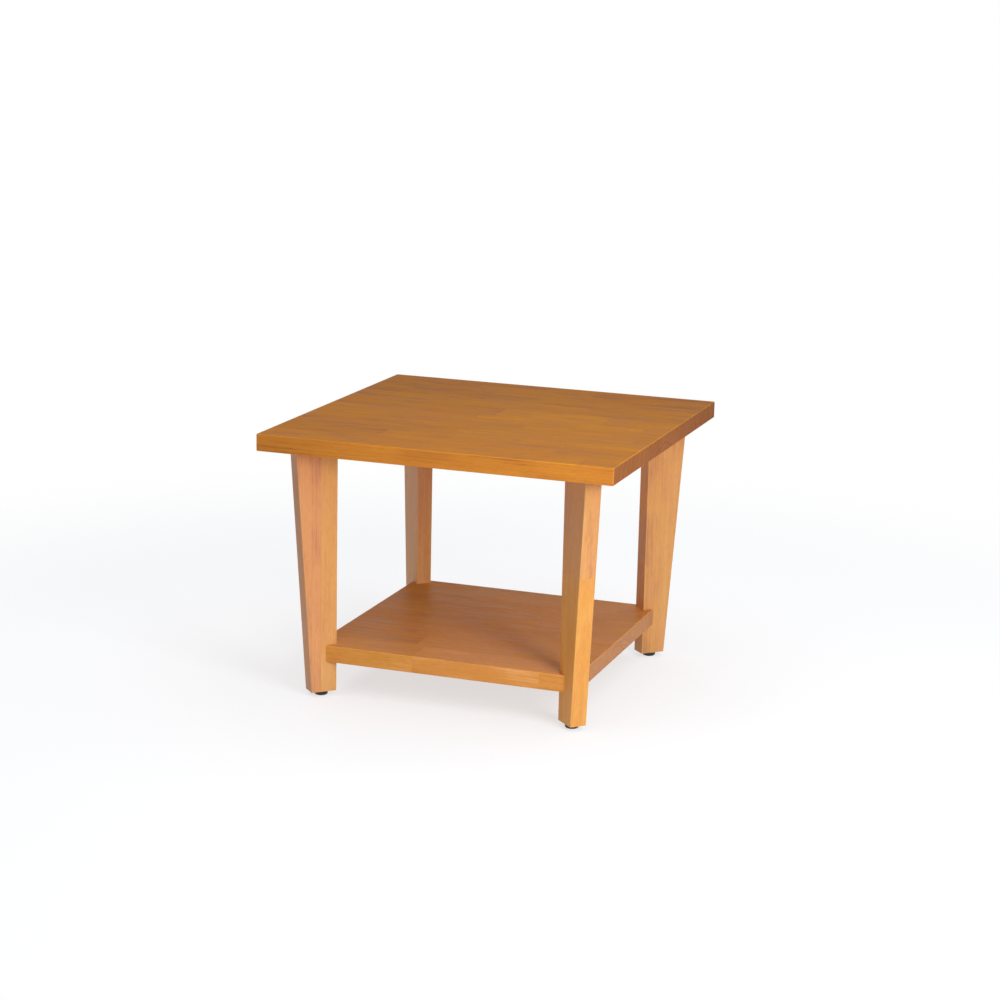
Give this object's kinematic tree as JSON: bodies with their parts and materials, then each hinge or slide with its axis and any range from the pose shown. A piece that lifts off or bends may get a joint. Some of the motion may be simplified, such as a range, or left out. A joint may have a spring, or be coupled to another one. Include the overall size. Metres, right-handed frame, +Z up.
{
  "type": "end table with shelf",
  "caption": "Square solid-wood end table with a thick top, tapered legs set diagonally under the corners, a notched lower shelf between them and screw-in levelling glides.",
  "frame": {"origin": "on the floor, under the middle of the top, with the glides screwed right in", "axes": "+Z up, +X to the right along the front edge of the top, -Y to the front"},
  "size_m": [0.61, 0.61, 0.457],
  "materials": {
    "stained_wood": "amber stain under satin lacquer",
    "zinc_steel": "zinc plated",
    "brass": "turned, untreated",
    "black_nylon": "moulded, matt"
  },
  "bodies": {
    "table": {"table_top": "stained_wood", "shelf": "stained_wood", "leg_front_left": "stained_wood", "leg_front_right": "stained_wood", "leg_back_left": "stained_wood", "leg_back_right": "stained_wood", "leg_plate_front_left": "zinc_steel", "leg_plate_front_right": "zinc_steel", "leg_plate_back_left": "zinc_steel", "leg_plate_back_right": "zinc_steel", "plate_screws": "zinc_steel", "hanger_bolts": "zinc_steel", "hanger_washers": "zinc_steel", "hanger_nuts": "zinc_steel", "glide_inserts": "brass"},
    "glide_front_left": {"glide_foot_front_left": "black_nylon", "glide_stem_front_left": "zinc_steel"},
    "glide_front_right": {"glide_foot_front_right": "black_nylon", "glide_stem_front_right": "zinc_steel"},
    "glide_back_left": {"glide_foot_back_left": "black_nylon", "glide_stem_back_left": "zinc_steel"},
    "glide_back_right": {"glide_foot_back_right": "black_nylon", "glide_stem_back_right": "zinc_steel"}
  },
  "joints": [
    {"name": "level_front_left", "type": "slide", "parent": "table", "child": "glide_front_left", "axis": [0, 0, -1], "range_m": [0, 0.012]},
    {"name": "level_front_right", "type": "slide", "parent": "table", "child": "glide_front_right", "axis": [0, 0, -1], "range_m": [0, 0.012]},
    {"name": "level_back_left", "type": "slide", "parent": "table", "child": "glide_back_left", "axis": [0, 0, -1], "range_m": [0, 0.012]},
    {"name": "level_back_right", "type": "slide", "parent": "table", "child": "glide_back_right", "axis": [0, 0, -1], "range_m": [0, 0.012]}
  ]
}
